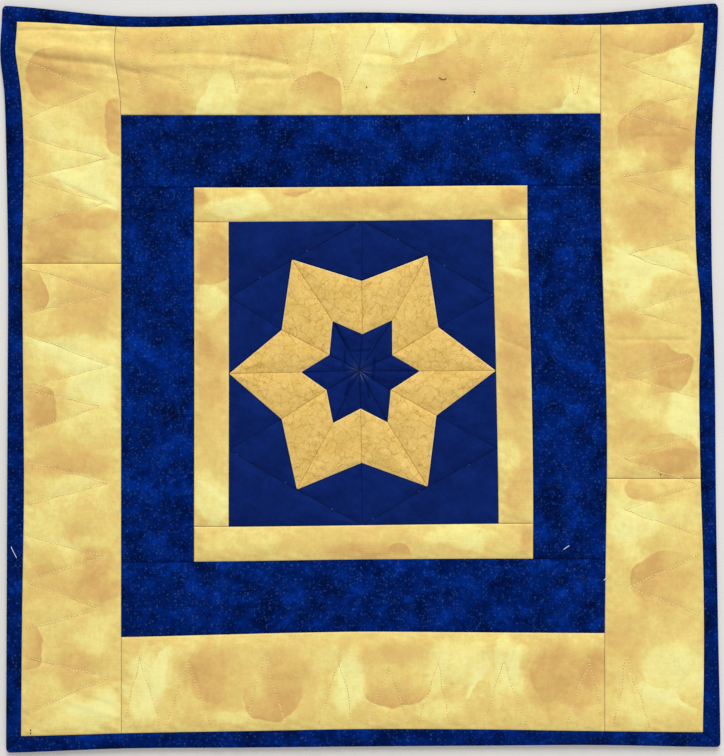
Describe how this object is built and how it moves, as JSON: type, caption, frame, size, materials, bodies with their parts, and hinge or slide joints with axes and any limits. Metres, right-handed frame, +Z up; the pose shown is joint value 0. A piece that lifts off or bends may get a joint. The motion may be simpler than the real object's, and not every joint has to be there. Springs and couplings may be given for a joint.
{
  "type": "quilt",
  "caption": "Small flat patchwork quilt with a pieced star block, plain and patterned borders, zigzag quilting and a folded binding; lies on a table or floor.",
  "frame": {"origin": "middle of the underside, on the surface that the quilt lies on", "axes": "+X to the quilt's right seen from above, +Y to its top edge, +Z up out of the pieced face"},
  "size_m": [0.5174, 0.5384, 0.0059],
  "materials": {
    "marbled_cloth": "woven cotton, matt",
    "speckled_cloth": "woven cotton, matt",
    "navy_cloth": "woven cotton, matt",
    "gold_cloth": "woven cotton, matt",
    "backing_cloth": "woven cotton, matt"
  },
  "bodies": {
    "root": {"quilt_body": "backing_cloth", "binding_top": "speckled_cloth", "inner_border_top": "marbled_cloth", "navy_border_top": "speckled_cloth", "binding_right": "speckled_cloth", "inner_border_right": "marbled_cloth", "navy_border_right": "speckled_cloth", "binding_bottom": "speckled_cloth", "inner_border_bottom": "marbled_cloth", "navy_border_bottom": "speckled_cloth", "binding_left": "speckled_cloth", "inner_border_left": "marbled_cloth", "navy_border_left": "speckled_cloth", "outer_border_top": "marbled_cloth", "outer_border_bottom": "marbled_cloth", "outer_border_left_lower": "marbled_cloth", "outer_border_left_upper": "marbled_cloth", "outer_border_right_lower": "marbled_cloth", "outer_border_right_upper": "marbled_cloth", "block_corner_ne": "navy_cloth", "block_corner_nw": "navy_cloth", "block_corner_sw": "navy_cloth", "block_corner_se": "navy_cloth", "ground_triangle_01": "navy_cloth", "star_kite_01": "gold_cloth", "core_wedge_01": "navy_cloth", "ground_triangle_02": "navy_cloth", "star_kite_02": "gold_cloth", "core_wedge_02": "navy_cloth", "ground_triangle_03": "navy_cloth", "star_kite_03": "gold_cloth", "core_wedge_03": "navy_cloth", "ground_triangle_04": "navy_cloth", "star_kite_04": "gold_cloth", "core_wedge_04": "navy_cloth", "ground_triangle_05": "navy_cloth", "star_kite_05": "gold_cloth", "core_wedge_05": "navy_cloth", "ground_triangle_06": "navy_cloth", "star_kite_06": "gold_cloth", "core_wedge_06": "navy_cloth", "ground_triangle_07": "navy_cloth", "star_kite_07": "gold_cloth", "core_wedge_07": "navy_cloth", "ground_triangle_08": "navy_cloth", "star_kite_08": "gold_cloth", "core_wedge_08": "navy_cloth", "ground_triangle_09": "navy_cloth", "star_kite_09": "gold_cloth", "core_wedge_09": "navy_cloth", "ground_triangle_10": "navy_cloth", "star_kite_10": "gold_cloth", "core_wedge_10": "navy_cloth", "ground_triangle_11": "navy_cloth", "star_kite_11": "gold_cloth", "core_wedge_11": "navy_cloth", "ground_triangle_12": "navy_cloth", "star_kite_12": "gold_cloth", "core_wedge_12": "navy_cloth"}
  },
  "joints": []
}
